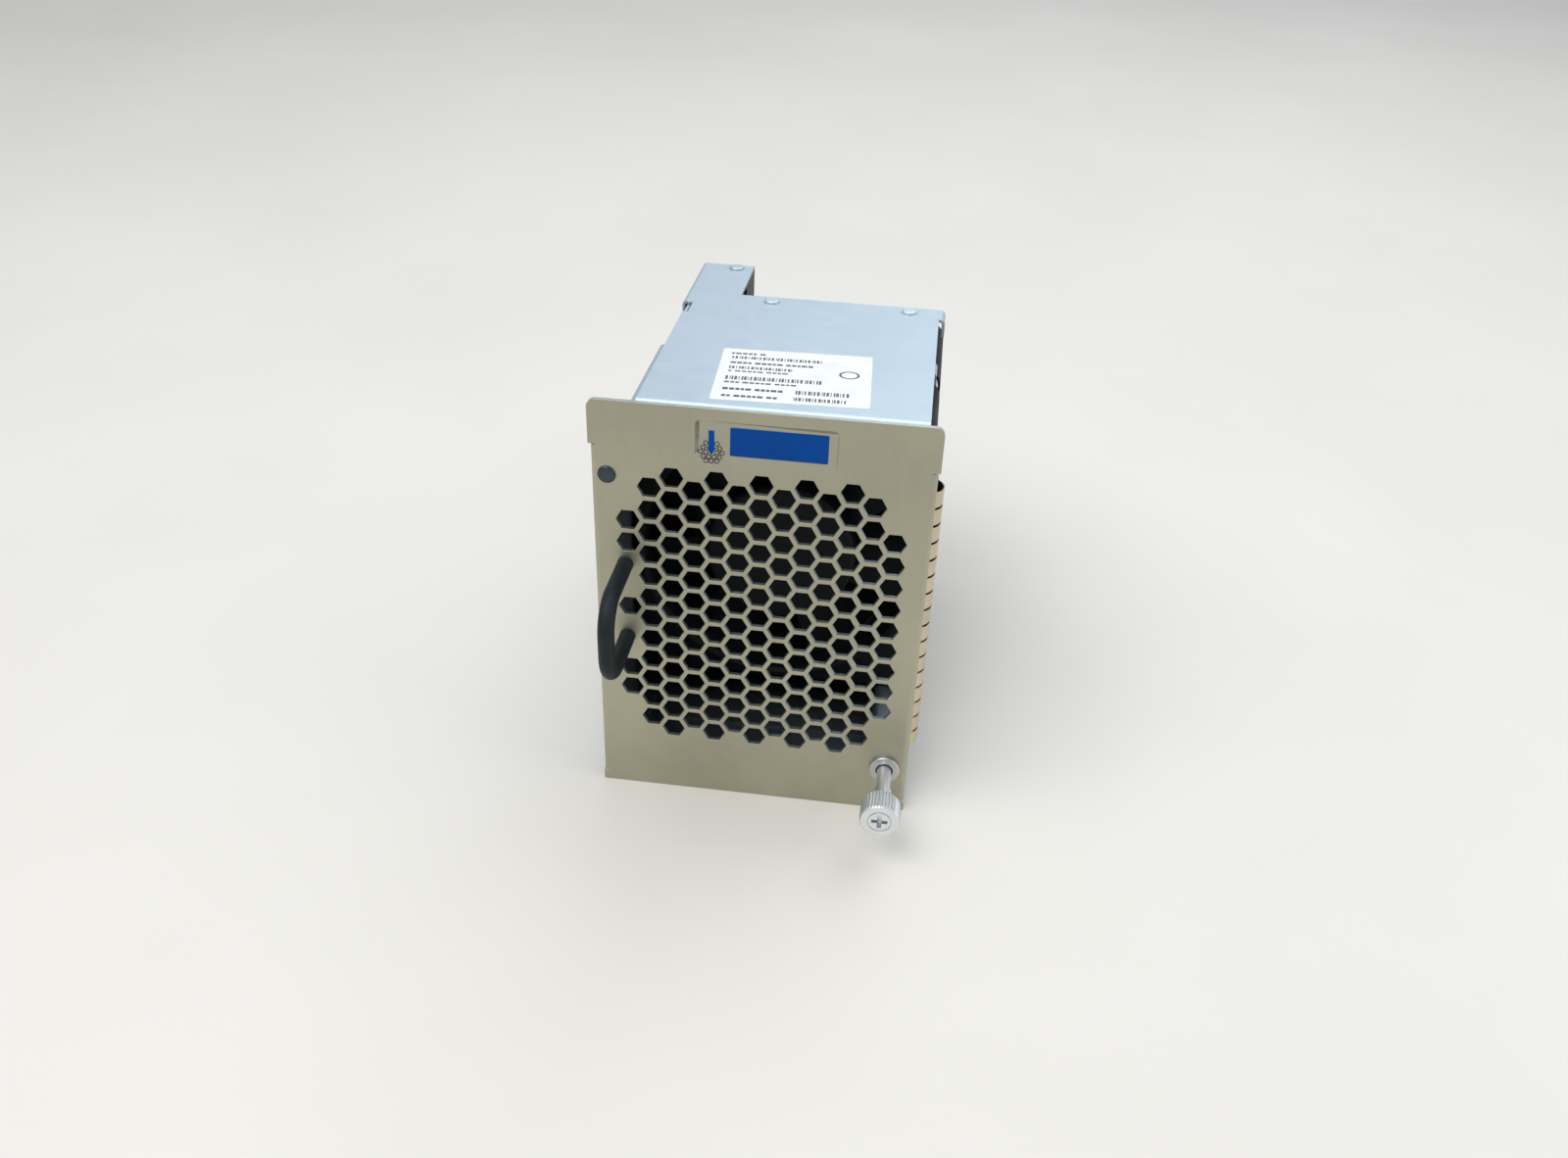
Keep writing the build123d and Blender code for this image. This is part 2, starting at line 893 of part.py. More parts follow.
# Four pan-head screws; their heads bear on a sheet face and point forward or rearward
def fan_screws(seat, reach, head):
    with BuildPart() as screws:
        with BuildSketch(fan_face(max(seat, seat + reach))):
            with GridLocations(fan_hole_pitch, fan_hole_pitch, 2, 2):
                Circle(fan_hole / 2)
        extrude(amount=abs(reach))
        with BuildSketch(fan_face(max(seat, seat + head))):
            with GridLocations(fan_hole_pitch, fan_hole_pitch, 2, 2):
                Circle(screw_head / 2)
        extrude(amount=abs(head))
        top = seat + head
        outer = screws.faces().filter_by(Plane.XZ).group_by(Axis.Y)
        caps = outer[-1] if head > 0 else outer[0]
        fillet(caps.edges(), screw_head_edge)
        socket = top if head > 0 else top + screw_socket_depth
        with BuildSketch(fan_face(socket)):
            with GridLocations(fan_hole_pitch, fan_hole_pitch, 2, 2):
                Rectangle(screw_socket_span, screw_socket)
                Rectangle(screw_socket, screw_socket_span)
        extrude(amount=screw_socket_depth, mode=Mode.SUBTRACT)
    return screws.part


front_seat = bracket_start + sled_sheet
save(fan_screws(front_seat, -screw_length, screw_head_height), "fan_screws_front")
save(fan_screws(rear_plate_start, screw_length, -screw_head_height), "fan_screws_rear")


# A blind rivet from the top of the cover down through a stack of sheets
def rivet(across, depth, grip):
    with BuildPart() as body:
        with BuildSketch(level(cover_top)):
            with Locations((across, depth)):
                Circle(rivet_head / 2)
        extrude(amount=rivet_head_height)
        crown = body.faces().sort_by(Axis.Z)[-1]
        fillet(crown.edges(), rivet_head_edge)
        with BuildSketch(level(cover_top - grip)):
            with Locations((across, depth)):
                Circle(rivet_shank / 2)
        extrude(amount=grip)
        with BuildSketch(level(cover_top - grip - rivet_tail_height)):
            with Locations((across, depth)):
                Circle(rivet_tail / 2)
        extrude(amount=rivet_tail_height)
    return body.part


with BuildPart() as sheet_rivets:
    for across in cover_rivets:
        add(rivet(across, sled_rear - cover_rivet_inset, 2 * sled_sheet))
    tongue_depth = tongue_end - tongue_rivet_inset
    add(rivet(tongue_rivet, tongue_depth, sled_sheet + socket_wall))
save(sheet_rivets.part, "sheet_rivets")

# Bow handle, a coated rod tapped at both feet
with BuildPart() as handle:
    with BuildLine(sideways(handle_across)) as bow:
        FilletPolyline(
            (0, handle_foot + handle_span),
            (-handle_out, handle_foot + handle_span),
            (-handle_out, handle_foot),
            (0, handle_foot),
            radius=handle_radius,
        )
    with BuildSketch(facing(0, handle_across, handle_foot + handle_span)):
        Circle(handle_rod / 2)
    sweep(path=bow.line)
    with BuildSketch(facing(0)):
        with Locations(
            (handle_across, handle_foot),
            (handle_across, handle_foot + handle_span),
        ):
            Circle(handle_screw / 2)
    extrude(amount=handle_screw_depth, mode=Mode.SUBTRACT)
save(handle.part, "handle")

# Screws that hold the handle from behind the faceplate
with BuildPart() as handle_screws:
    feet = (
        (handle_across, handle_foot),
        (handle_across, handle_foot + handle_span),
    )
    with BuildSketch(facing(plate_sheet + handle_screw_head_height)):
        with Locations(feet):
            Circle(handle_screw_head / 2)
    extrude(amount=handle_screw_head_height)
    back = handle_screws.faces().group_by(Axis.Y)[-1]
    fillet(back.edges(), screw_head_edge)
    with BuildSketch(facing(plate_sheet)):
        with Locations(feet):
            Circle(handle_screw / 2)
    extrude(amount=plate_sheet + handle_screw_depth)
save(handle_screws.part, "handle_screws")


def screw_face(depth):
    return facing(depth, screw_across, screw_height)


# Captive thumbscrew: fluted knob, collar, necked shank and threaded end
with BuildPart() as thumbscrew:
    with BuildSketch(screw_face(thread_end)):
        Circle(thread_diameter / 2)
    extrude(amount=thread_end - washer_end - washer_gap + washer_fit)
    tip = thumbscrew.faces().sort_by(Axis.Y)[-1]
    chamfer(tip.edges(), thread_point)
    with BuildSketch(screw_face(washer_end + washer_gap)):
        Circle(neck_diameter / 2)
    extrude(amount=washer_thickness + 2 * washer_gap)
    with BuildSketch(screw_face(washer_start - washer_gap)):
        Circle(plain_shank / 2)
    extrude(amount=collar_standoff + washer_start - washer_gap)
    with BuildSketch(screw_face(-collar_standoff)):
        Circle(collar_neck / 2)
    extrude(amount=collar_step)
    with BuildSketch(screw_face(-collar_standoff - collar_step)):
        Circle(collar_diameter / 2)
    extrude(amount=collar_length - collar_step)
    with BuildSketch(screw_face(-collar_start)):
        Circle(knob_diameter / 2)
    extrude(amount=knob_length)
    cap = thumbscrew.faces().sort_by(Axis.Y)[0]
    chamfer(cap.edges(), knob_dome)
    with BuildSketch(screw_face(-collar_start)):
        with PolarLocations(knob_diameter / 2, knob_flutes):
            Rectangle(2 * knob_flute_depth, knob_flute_width, rotation=45)
    extrude(amount=knob_length, mode=Mode.SUBTRACT)
    with BuildSketch(screw_face(-knob_end + cross_slot_depth)):
        Rectangle(cross_slot_length, cross_slot_width)
        Rectangle(cross_slot_width, cross_slot_length)
    extrude(amount=cross_slot_depth, mode=Mode.SUBTRACT)
    with BuildSketch(screw_face(-knob_end + face_groove_depth)):
        Circle(face_groove_outer / 2)
        Circle(face_groove_outer / 2 - face_groove_width, mode=Mode.SUBTRACT)
    extrude(amount=face_groove_depth, mode=Mode.SUBTRACT)
save(thumbscrew.part, "thumbscrew")

# Ferrule that keeps the thumbscrew in the faceplate
with BuildPart() as captive_ferrule:
    with BuildSketch(screw_face(ferrule_length)):
        Circle(ferrule_outer / 2)
    extrude(amount=ferrule_length)
    with BuildSketch(screw_face(0)):
        Circle(ferrule_flange / 2)
    extrude(amount=ferrule_stand)
    rim = captive_ferrule.faces().sort_by(Axis.Y)[0]
    fillet(rim.edges(), ferrule_edge)
    with BuildSketch(screw_face(ferrule_length - ferrule_end_wall)):
        Circle(ferrule_inner / 2)
    extrude(
        amount=ferrule_length - ferrule_end_wall - ferrule_lip, mode=Mode.SUBTRACT
    )
    with BuildSketch(screw_face(ferrule_length)):
        Circle(ferrule_bore / 2)
    extrude(amount=ferrule_length + ferrule_stand, mode=Mode.SUBTRACT)
save(captive_ferrule.part, "captive_ferrule")

# Retaining washer in the neck of the screw
with BuildPart() as retaining_washer:
    with BuildSketch(screw_face(washer_end)):
        Circle(washer_outer / 2)
    extrude(amount=washer_thickness)
    with BuildSketch(screw_face(washer_end)):
        Circle((neck_diameter + 2 * washer_fit) / 2)
    extrude(amount=washer_thickness, mode=Mode.SUBTRACT)
save(retaining_washer.part, "retaining_washer")

# Spring between the washer and the end wall of the ferrule
spring_start = washer_end + spring_wire / 2
spring_end = ferrule_length - ferrule_end_wall - spring_wire / 2
with BuildPart() as thumbscrew_spring:
    with BuildLine() as coil:
        Helix(
            pitch=(spring_end - spring_start) / spring_turns,
            height=spring_end - spring_start,
            radius=spring_diameter / 2,
            center=(plate_x + screw_across, face_y + spring_start, screw_height),
            direction=(0, 1, 0),
        )
    with BuildSketch(Plane(origin=coil.line @ 0, z_dir=coil.line % 0)):
        Circle(spring_wire / 2)
    sweep(path=coil.line, is_frenet=True)
save(thumbscrew_spring.part, "thumbscrew_spring")


def light_face(depth):
    return facing(depth, light_across, light_height)


# Status lens with its light pipe
with BuildPart() as status_lens:
    with BuildSketch(light_face(plate_sheet)):
        Circle(light_lens / 2)
    extrude(amount=plate_sheet + light_dome)
    dome = status_lens.faces().sort_by(Axis.Y)[0]
    fillet(dome.edges(), light_dome)
    with BuildSketch(light_face(light_pipe_end)):
        Circle(light_pipe / 2)
    extrude(amount=light_pipe_end - plate_sheet)
save(status_lens.part, "status_lens")

# Status LED and its holder on the side wall
with BuildPart() as status_led:
    with BuildSketch(light_face(led_end)):
        Circle(led_diameter / 2)
    extrude(amount=led_length)
    with BuildSketch(light_face(led_end)):
        Circle(led_flange / 2)
    extrude(amount=led_flange_length)
save(status_led.part, "status_led")

with BuildPart() as led_holder:
    with BuildSketch(facing(led_end - led_flange_length)):
        panel(
            -wall_face,
            light_height - holder_height / 2,
            light_across + led_diameter / 2 + holder_wall,
            light_height + holder_height / 2,
        )
        with Locations((light_across, light_height)):
            Circle(led_diameter / 2, mode=Mode.SUBTRACT)
    extrude(amount=led_length - 2 * led_flange_length)
save(led_holder.part, "led_holder")

# Blind-mate connector housing
connector_right = connector_left + connector_width
with BuildPart() as connector_housing:
    with BuildSketch(facing(connector_end)):
        panel(connector_left, connector_foot, connector_right, cover_under)
    extrude(amount=connector_depth)
    with BuildSketch(facing(connector_end)):
        panel(
            connector_left + socket_wall,
            connector_foot + socket_wall,
            connector_right - socket_wall,
            cover_under - socket_wall - rivet_tail_height,
        )
    extrude(amount=socket_depth, mode=Mode.SUBTRACT)
    with BuildSketch(level(cover_under - socket_wall)):
        with Locations((tongue_rivet, tongue_end - tongue_rivet_inset)):
            Circle(rivet_shank / 2)
    extrude(amount=socket_wall, mode=Mode.SUBTRACT)
    with BuildSketch(level(cover_under - socket_wall - rivet_tail_height)):
        with Locations((tongue_rivet, tongue_end - tongue_rivet_inset)):
            Circle(rivet_tail / 2)
    extrude(amount=rivet_tail_height, mode=Mode.SUBTRACT)


def contact_grid():
    middle = connector_left + connector_width / 2
    height = cover_under - contact_drop - contact_row_pitch
    with Locations((middle, height)):
        with GridLocations(
            contact_pitch, contact_row_pitch, contact_columns, contact_rows
        ):
            Rectangle(contact_size, contact_size)


with BuildPart() as connector_contacts:
    with BuildSketch(facing(connector_end - contact_end_gap)):
        contact_grid()
    extrude(amount=connector_end - contact_end_gap - board_start + contact_tail)
save(connector_contacts.part, "connector_contacts")

with connector_housing:
    with BuildSketch(facing(connector_end - socket_depth)):
        contact_grid()
    extrude(amount=connector_depth - socket_depth, mode=Mode.SUBTRACT)
save(connector_housing.part, "connector_housing")

# Small board that the leads solder to
with BuildPart() as connector_board:
    with BuildSketch(facing(board_start + board_thickness)):
        panel(connector_left, connector_foot, connector_right, cover_under - board_drop)
    extrude(amount=board_thickness)
    with BuildSketch(facing(board_start + board_thickness)):
        contact_grid()
    extrude(amount=board_thickness, mode=Mode.SUBTRACT)
save(connector_board.part, "connector_board")


# A lead that leaves the top of a fan and runs back to the board
def fan_lead(start, rise):
    height = fan_top + rise
    run = min(rise, board_start - start)
    with BuildPart() as lead:
        for wire in range(wire_count):
            across = notch_edge + wire_inset + wire * wire_pitch
            with BuildLine(sideways(across)) as path:
                FilletPolyline(
                    (start, fan_top),
                    (start, height),
                    (board_start, height),
                    radius=wire_bend_share * run,
                )
            with BuildSketch(level(fan_top)):
                with Locations((across, start)):
                    Circle(wire_diameter / 2)
            sweep(path=path.line)
    return lead.part


front_lead = fan_lead(bracket_start - front_wire_inset, front_wire_rise)
rear_lead = fan_lead(rear_fan_start + rear_wire_inset, rear_wire_rise)
save(front_lead, "front_fan_lead")
save(rear_lead, "rear_fan_lead")

# Lead of the status light
with BuildPart() as status_lead:
    turn_depth = led_end + light_wire_run
    slot_across = plate_x + notch_edge + light_wire_inset
    slot_height = fan_top + light_wire_rise
    with BuildLine() as route:
        FilletPolyline(
            (plate_x + light_across, face_y + led_end, light_height),
            (plate_x + light_across, face_y + turn_depth, light_height),
            (slot_across, face_y + turn_depth + light_wire_drift, light_height),
            (slot_across, face_y + turn_depth + 2 * light_wire_drift, slot_height),
            (slot_across, face_y + board_start, slot_height),
            radius=light_wire_bend,
        )
    with BuildSketch(Plane(origin=route.line @ 0, z_dir=route.line % 0)):
        Circle(light_wire / 2)
    sweep(path=route.line)
save(status_lead.part, "status_lead")
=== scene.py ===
import json
import math

import bmesh
import bpy
from mathutils import Matrix, Vector


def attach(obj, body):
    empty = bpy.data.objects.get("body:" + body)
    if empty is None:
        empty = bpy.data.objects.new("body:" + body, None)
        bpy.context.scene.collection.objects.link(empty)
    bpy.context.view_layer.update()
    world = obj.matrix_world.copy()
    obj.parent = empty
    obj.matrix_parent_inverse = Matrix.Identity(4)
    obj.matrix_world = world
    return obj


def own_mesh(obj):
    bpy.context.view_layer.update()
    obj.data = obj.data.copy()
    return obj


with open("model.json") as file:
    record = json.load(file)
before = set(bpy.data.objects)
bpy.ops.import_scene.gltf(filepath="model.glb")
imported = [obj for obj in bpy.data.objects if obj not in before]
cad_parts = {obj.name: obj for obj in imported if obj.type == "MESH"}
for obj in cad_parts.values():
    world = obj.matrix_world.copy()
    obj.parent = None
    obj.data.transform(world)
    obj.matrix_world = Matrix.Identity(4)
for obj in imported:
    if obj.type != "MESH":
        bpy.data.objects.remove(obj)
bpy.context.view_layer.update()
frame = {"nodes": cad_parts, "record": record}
NODES = frame["nodes"]

MM = 0.001
ACROSS, DEPTH, HEIGHT = 0, 1, 2


def span(name, axis):
    """Low and high end of a CAD node along one axis, in millimetres of the row frame."""
    shown = NODES[name]
    ends = [(shown.matrix_world @ v.co)[axis] / MM for v in shown.data.vertices]
    return min(ends), max(ends)


PLATE_X = sum(span("faceplate", ACROSS)) / 2
FACE_Y = span("faceplate", DEPTH)[0]
COVER_TOP = span("top_cover", HEIGHT)[1]
SLED_FOOT = span("base_tray", HEIGHT)[0]
SLED_REAR = span("base_tray", DEPTH)[1] - FACE_Y


def at(x, d, z):
    """Plate-local millimetres (across, behind the plate's front, up) to the row frame in metres."""
    return Vector(((x + PLATE_X) * MM, (d + FACE_Y) * MM, z * MM))


# Materials

CORNER_SAMPLES = 4
HOLLOW_SAMPLES = 6

WEAR_RADIUS = 0.0003
WEAR_PATCH = 260.0
GLOSS_SWING = 0.08
GRAIN_DEPTH = 0.00005

SPANGLE_CELLS = 230.0
SPANGLE_WARP = 0.004
ROLLING_LINES = 900.0
SHEET_CLOUD = 38.0
SHEET_CORNER = 0.00018
RELIEF_DEPTH = 0.0002
FRONT_LAYER = (1.6, 3.0)
# Painted shade for the sheet's hollows: how dark they get, and how far the occlusion reaches.
HOLLOW_SHADE = 0.3
SHADE_REACH = 0.07

CLEAR_DEPTH = 0.0001


LOOKS = {}


def shader(name):
    """A new material, kept in LOOKS under the name that the record's material slots use."""
    mat = bpy.data.materials.new(name)
    mat.use_nodes = True
    LOOKS[name] = mat
    return mat, mat.node_tree, mat.node_tree.nodes["Principled BSDF"]


def node(tree, kind, **values):
    n = tree.nodes.new(kind)
    for key, value in values.items():
        if key in n.inputs:
            n.inputs[key].default_value = value
        else:
            setattr(n, key, value)
    return n


def object_coords(tree):
    return node(tree, "ShaderNodeTexCoord").outputs["Object"]


def along(tree, vector, axis):
    """One component of a vector."""
    split = node(tree, "ShaderNodeSeparateXYZ")
    tree.links.new(vector, split.inputs[0])
    return split.outputs[axis]


def maths(tree, operation, *values):
    """A Math node on sockets or plain numbers."""
    m = node(tree, "ShaderNodeMath", operation=operation)
    for socket, value in zip(m.inputs, values):
        if isinstance(value, float):
            socket.default_value = value
        else:
            tree.links.new(value, socket)
    return m.outputs[0]


def noise(tree, coords, scale, detail=3.0, rough=0.55, stretch=None):
    source = coords
    if stretch:
        m = node(tree, "ShaderNodeMapping")
        m.inputs["Scale"].default_value = stretch
        tree.links.new(coords, m.inputs["Vector"])
        source = m.outputs["Vector"]
    n = node(tree, "ShaderNodeTexNoise", Scale=scale, Detail=detail, Roughness=rough)
    tree.links.new(source, n.inputs["Vector"])
    return n.outputs["Fac"]


def spread(tree, value, low, high, a=0.3, b=0.7):
    """Maps a to b onto low to high."""
    r = node(tree, "ShaderNodeMapRange")
    r.inputs["From Min"].default_value = a
    r.inputs["From Max"].default_value = b
    r.inputs["To Min"].default_value = low
    r.inputs["To Max"].default_value = high
    tree.links.new(value, r.inputs["Value"])
    return r.outputs["Result"]


def blend_colours(tree, factor, first, second):
    m = node(tree, "ShaderNodeMix", data_type="RGBA")
    for socket, value in ((m.inputs[6], first), (m.inputs[7], second)):
        if isinstance(value, tuple):
            socket.default_value = (*value, 1.0)
        else:
            tree.links.new(value, socket)
    tree.links.new(factor, m.inputs[0])
    return m.outputs[2]


def shades(colour, amount):
    """A darker and a lighter tone of one colour."""
    dark = tuple(c * (1 - amount) for c in colour)
    light = tuple(min(1.0, c * (1 + amount)) for c in colour)
    return dark, light


def edges(tree, radius):
    """1 on convex and concave edges, 0 on flats, from the difference the bevel makes."""
    bevel = node(tree, "ShaderNodeBevel", samples=CORNER_SAMPLES, Radius=radius)
    geometry = node(tree, "ShaderNodeNewGeometry")
    dot = node(tree, "ShaderNodeVectorMath", operation="DOT_PRODUCT")
    tree.links.new(bevel.outputs["Normal"], dot.inputs[0])
    tree.links.new(geometry.outputs["Normal"], dot.inputs[1])
    return spread(tree, dot.outputs["Value"], 1.0, 0.0, 0.80, 0.985)


def bumped(tree, height, strength, depth, corner=0.0):
    """Normal of a fine relief, on corners softened to a radius."""
    b = node(tree, "ShaderNodeBump", Strength=strength, Distance=depth)
    tree.links.new(height, b.inputs["Height"])
    if corner:
        soft = node(tree, "ShaderNodeBevel", samples=CORNER_SAMPLES, Radius=corner)
        tree.links.new(soft.outputs["Normal"], b.inputs["Normal"])
    return b.outputs["Normal"]


def surface(name, colour, rough, metallic=0.0, tint=0.12, patch=60.0, grain=1400.0, bump=0.12,
            stretch=None, wear=None, bevel=0.0002, specular=0.5):
    """Moulded, coated or machined finish: clouded colour, uneven gloss, fine grain, worn edges."""
    mat, tree, bsdf = shader(name)
    coords = object_coords(tree)
    cloud = noise(tree, coords, patch, 4.0)
    fine = noise(tree, coords, grain, 3.0, 0.6, stretch)
    base = blend_colours(tree, spread(tree, cloud, 0.0, 1.0), *shades(colour, tint))
    if wear:
        gate = spread(tree, noise(tree, coords, WEAR_PATCH), 0.0, 1.0, 0.4, 0.6)
        worn = maths(tree, "MULTIPLY", edges(tree, WEAR_RADIUS), gate)
        base = blend_colours(tree, worn, base, wear)
    tree.links.new(base, bsdf.inputs["Base Color"])
    gloss = maths(tree, "ADD", spread(tree, cloud, rough - GLOSS_SWING, rough + GLOSS_SWING),
                  spread(tree, fine, -GLOSS_SWING * 0.4, GLOSS_SWING * 0.4))
    gloss.node.use_clamp = True
    tree.links.new(gloss, bsdf.inputs["Roughness"])
    bsdf.inputs["Metallic"].default_value = metallic
    bsdf.inputs["Specular IOR Level"].default_value = specular
    tree.links.new(bumped(tree, fine, bump, GRAIN_DEPTH, bevel), bsdf.inputs["Normal"])
    return mat


def zinc(name, colour, rough, spangle, relief, cut=None):
    """Galvanised sheet: soft spangle cells, rolling lines, painted shade darkening the hollows.

    With a colour for its cut edges, the sheet is the faceplate, whose front layer gets no painted
    shade."""
    mat, tree, bsdf = shader(name)
    coords = object_coords(tree)
    shift = node(tree, "ShaderNodeVectorMath", operation="MULTIPLY_ADD")
    tree.links.new(noise(tree, coords, 180.0), shift.inputs[0])
    shift.inputs[1].default_value = (SPANGLE_WARP,) * 3
    tree.links.new(coords, shift.inputs[2])
    cells = node(tree, "ShaderNodeTexVoronoi", Scale=SPANGLE_CELLS)
    tree.links.new(shift.outputs["Vector"], cells.inputs["Vector"])
    split = node(tree, "ShaderNodeSeparateColor")
    tree.links.new(cells.outputs["Color"], split.inputs["Color"])
    flake = split.outputs[0]
    cloud = noise(tree, coords, SHEET_CLOUD, 4.0)
    tone = maths(tree, "MULTIPLY_ADD", flake, 0.35, spread(tree, cloud, 0.0, 0.65))
    base = blend_colours(tree, tone, *shades(colour, spangle))

    shade_free = 0.0
    if cut:
        geometry = node(tree, "ShaderNodeNewGeometry")
        facing = maths(tree, "ABSOLUTE", along(tree, geometry.outputs["Normal"], DEPTH))
        base = blend_colours(tree, spread(tree, facing, 1.0, 0.0, 0.15, 0.35), base, cut)
        low, high = ((FACE_Y + d) * MM for d in FRONT_LAYER)
        shade_free = spread(tree, along(tree, coords, DEPTH), 1.0, 0.0, low, high)
    # Painted shade: ambient occlusion darkens the colour in hollows and inside the tray, where
    # shade falls; the faceplate's front layer is left out.
    hollow = node(tree, "ShaderNodeAmbientOcclusion", samples=HOLLOW_SAMPLES, Distance=SHADE_REACH)
    unshaded = maths(tree, "MAXIMUM", spread(tree, hollow.outputs["AO"], 0.0, 1.0, 0.3, 0.85), shade_free)
    base = blend_colours(tree, unshaded, tuple(c * HOLLOW_SHADE for c in colour), base)
    tree.links.new(base, bsdf.inputs["Base Color"])

    lines = noise(tree, coords, ROLLING_LINES, 3.0, 0.6, (1.0, 1.0, 0.06))
    patchy = spread(tree, flake, rough - 0.5 * spangle, rough + 0.6 * spangle, 0.0, 1.0)
    gloss = maths(tree, "ADD", patchy, spread(tree, lines, -0.025, 0.025))
    tree.links.new(gloss, bsdf.inputs["Roughness"])
    bsdf.inputs["Metallic"].default_value = 1.0
    height = maths(tree, "MULTIPLY_ADD", lines, 0.2, cloud)
    tree.links.new(bumped(tree, height, relief, RELIEF_DEPTH, SHEET_CORNER), bsdf.inputs["Normal"])
    return mat


def clear(name, dark, light, scale, rough_low, rough_high, bump, transmission=0.0, alpha=1.0):
    """Clear plastic with a faint cloud in its tint and gloss."""
    mat, tree, bsdf = shader(name)
    cloud = noise(tree, object_coords(tree), scale)
    base = blend_colours(tree, spread(tree, cloud, 0.0, 1.0), dark, light)
    tree.links.new(base, bsdf.inputs["Base Color"])
    tree.links.new(spread(tree, cloud, rough_low, rough_high), bsdf.inputs["Roughness"])
    bsdf.inputs["IOR"].default_value = 1.5
    bsdf.inputs["Transmission Weight"].default_value = transmission
    bsdf.inputs["Alpha"].default_value = alpha
    tree.links.new(bumped(tree, cloud, bump, CLEAR_DEPTH), bsdf.inputs["Normal"])
    return mat


# Painted reflection: the faceplate's yellow-tan tint stands in for the yellow mat mirrored in the
# zinc.
zinc("plate_zinc", (0.445, 0.428, 0.328), 0.47, 0.10, 0.08, cut=(0.55, 0.62, 0.62))
# Painted reflection: the sled sheet's light blue stands in for the bright light above mirrored in
# the same zinc.
zinc("sled_zinc", (0.60, 0.70, 0.78), 0.54, 0.022, 0.003)
# Painted reflection: the finger strip's yellow tint stands in for the mat mirrored in its metal.
surface("finger_metal", (0.58, 0.51, 0.37), 0.28, 1.0, stretch=(1.0, 1.0, 0.1))
surface("edging_rubber", (0.02, 0.02, 0.02), 0.75)
surface("fan_plastic", (0.009, 0.010, 0.012), 0.55, grain=1100.0, bump=0.25,
        wear=(0.03, 0.03, 0.035), specular=0.18)
surface("rotor_plastic", (0.008, 0.009, 0.010), 0.55, grain=900.0, bump=0.2,
        wear=(0.02, 0.02, 0.022), specular=0.18)
surface("magnet_ferrite", (0.06, 0.06, 0.065), 0.6, 0.3)
surface("bright_steel", (0.62, 0.62, 0.63), 0.25, 1.0, stretch=(1.0, 0.1, 1.0))
surface("core_steel", (0.30, 0.31, 0.33), 0.5, 1.0, stretch=(0.05, 1.0, 0.05), bump=0.5)
surface("coil_copper", (0.50, 0.19, 0.07), 0.35, 1.0, stretch=(0.2, 1.0, 0.2), bump=0.6)
surface("screw_zinc", (0.62, 0.63, 0.64), 0.28, 1.0, wear=(0.75, 0.75, 0.76))
# Painted reflection: the rivets take the sled sheet's light-blue tint of mirrored light.
surface("rivet_aluminium", (0.60, 0.69, 0.76), 0.58, 1.0)
surface("handle_coating", (0.006, 0.012, 0.015), 0.55, grain=700.0, bump=0.35, tint=0.2,
        wear=(0.05, 0.06, 0.065), specular=0.3)
surface("ferrule_steel", (0.52, 0.52, 0.52), 0.33, 1.0)
surface("spring_steel", (0.45, 0.45, 0.46), 0.35, 1.0)
surface("knob_steel", (0.79, 0.82, 0.84), 0.42, 1.0, tint=0.06, wear=(0.91, 0.92, 0.93),
        stretch=(1.0, 0.12, 1.0))
surface("led_epoxy", (0.40, 0.46, 0.40), 0.2)
surface("black_nylon", (0.007, 0.007, 0.008), 0.5, bump=0.2, specular=0.3)
surface("contact_brass", (0.60, 0.42, 0.13), 0.28, 1.0)
surface("board_laminate", (0.008, 0.05, 0.025), 0.4)
surface("lead_black", (0.02, 0.02, 0.02), 0.5)
surface("lead_grey", (0.22, 0.22, 0.23), 0.5)
clear("lens_clear", (0.015, 0.032, 0.048), (0.026, 0.046, 0.066), 500.0, 0.12, 0.28, 0.1,
      transmission=0.2)

for part in frame["record"]["subparts"]:
    shown = NODES[part["node"]]
    shown.data.materials.clear()
    shown.data.materials.append(LOOKS[part["material_slot"]])
    shown.data.polygons.foreach_set("use_smooth", [True] * len(shown.data.polygons))
    shown.data.set_sharp_from_angle(angle=math.radians(32))

PRINT_BLUE = surface("label_blue", (0.001, 0.062, 0.31), 0.6, tint=0.10, patch=90.0, grain=900.0,
                     bump=0.08, bevel=0.0, specular=0.1)
PRINT_DARK = surface("print_dark", (0.02, 0.025, 0.05), 0.6, bevel=0.0)
PAPER = surface("label_paper", (0.78, 0.80, 0.80), 0.45, tint=0.05, patch=120.0, grain=1500.0,
                bump=0.08, bevel=0.0)
INK = surface("label_ink", (0.10, 0.10, 0.11), 0.5, bevel=0.0)
FILM = clear("label_film", (0.90, 0.93, 0.93), (0.96, 0.98, 0.98), 240.0, 0.10, 0.24, 0.05,
             alpha=0.05)


# Pieces of the scene

def mesh_object(name, verts, faces, material, body="tray"):
    mesh = bpy.data.meshes.new(name)
    mesh.from_pydata([tuple(v) for v in verts], [], faces)
    mesh.update()
    obj = bpy.data.objects.new(name, mesh)
    bpy.context.scene.collection.objects.link(obj)
    mesh.materials.append(material)
    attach(obj, body)
    return obj


def slab(name, outline, thick, material, place):
    """A thin plate from a 2-D outline; place(u, v, w) gives the row-frame point."""
    count = len(outline)
    verts = [place(u, v, 0.0) for u, v in outline] + [place(u, v, thick) for u, v in outline]
    faces = [tuple(range(count)), tuple(range(2 * count - 1, count - 1, -1))]
    for i in range(count):
        j = (i + 1) % count
        faces.append((i, i + count, j + count, j))
    obj = mesh_object(name, verts, faces, material)
    bm = bmesh.new()
    bm.from_mesh(obj.data)
    bmesh.ops.recalc_face_normals(bm, faces=bm.faces)
    bm.to_mesh(obj.data)
    bm.free()


